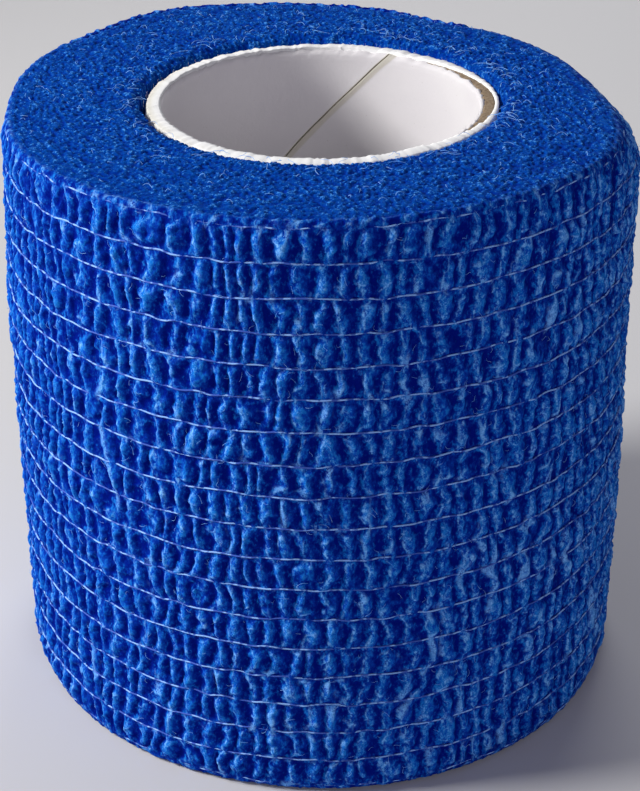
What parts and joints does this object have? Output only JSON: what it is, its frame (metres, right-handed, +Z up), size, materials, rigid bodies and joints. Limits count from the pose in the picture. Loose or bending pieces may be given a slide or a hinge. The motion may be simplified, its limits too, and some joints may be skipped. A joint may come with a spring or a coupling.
{
  "type": "hand wrap roll",
  "caption": "Roll of creped cohesive elastic hand wrap on a paper core, standing on its end, with a free end that peels off the outer turn.",
  "frame": {"origin": "on the roll's axis, in the plane of the lower end face that the roll stands on", "axes": "+Z up along the roll's axis; +Y away from a viewer in front of the roll; the free end is at the back right, 54 degrees from +X towards +Y"},
  "size_m": [0.0515, 0.0521, 0.05],
  "materials": {
    "creped_web": "royal blue creped nonwoven with a dry, tacky, slightly waxy latex coat",
    "inner_ply": "the same nonwoven on its inner side, a little deeper and flatter",
    "elastic_thread": "pale ice-blue stretched elastic yarn, satin",
    "white_paper": "matt white uncoated kraft paper",
    "grey_board": "matt grey-brown recycled core board"
  },
  "bodies": {
    "roll": {"core_liner": "white_paper", "core_board": "grey_board", "core_wrap": "white_paper", "wound_turns": "creped_web", "outer_turn_outer_ply": "creped_web", "outer_turn_inner_ply": "inner_ply", "elastic_thread_01": "elastic_thread", "elastic_thread_02": "elastic_thread", "elastic_thread_03": "elastic_thread", "elastic_thread_04": "elastic_thread", "elastic_thread_05": "elastic_thread", "elastic_thread_06": "elastic_thread", "elastic_thread_07": "elastic_thread", "elastic_thread_08": "elastic_thread", "elastic_thread_09": "elastic_thread", "elastic_thread_10": "elastic_thread", "elastic_thread_11": "elastic_thread", "elastic_thread_12": "elastic_thread", "elastic_thread_13": "elastic_thread", "elastic_thread_14": "elastic_thread", "elastic_thread_15": "elastic_thread", "elastic_thread_16": "elastic_thread", "elastic_thread_17": "elastic_thread", "elastic_thread_18": "elastic_thread", "elastic_thread_19": "elastic_thread"},
    "tail_1": {"tail_outer_ply_1": "creped_web", "tail_inner_ply_1": "inner_ply"},
    "tail_2": {"tail_outer_ply_2": "creped_web", "tail_inner_ply_2": "inner_ply"},
    "tail_3": {"tail_outer_ply_3": "creped_web", "tail_inner_ply_3": "inner_ply"},
    "tail_4": {"tail_outer_ply_4": "creped_web", "tail_inner_ply_4": "inner_ply"}
  },
  "joints": [
    {"name": "tail_peel", "type": "hinge", "parent": "roll", "child": "tail_1", "pos_m": [-0.02262, 0.01306, 0.025], "axis": [0, 0, 1], "range_deg": [0, 110]},
    {"name": "tail_bend_2", "type": "hinge", "parent": "tail_1", "child": "tail_2", "pos_m": [-0.01538, 0.02117, 0.025], "axis": [0, 0, 1], "range_deg": [0, 22]},
    {"name": "tail_bend_3", "type": "hinge", "parent": "tail_2", "child": "tail_3", "pos_m": [-0.00545, 0.02564, 0.025], "axis": [0, 0, 1], "range_deg": [0, 22]},
    {"name": "tail_bend_4", "type": "hinge", "parent": "tail_3", "child": "tail_4", "pos_m": [0.00546, 0.02568, 0.025], "axis": [0, 0, 1], "range_deg": [0, 22]}
  ],
  "couplings": [
    {"joint": "tail_bend_2", "follows": "tail_peel", "ratio": 0.2},
    {"joint": "tail_bend_3", "follows": "tail_peel", "ratio": 0.2},
    {"joint": "tail_bend_4", "follows": "tail_peel", "ratio": 0.2}
  ]
}
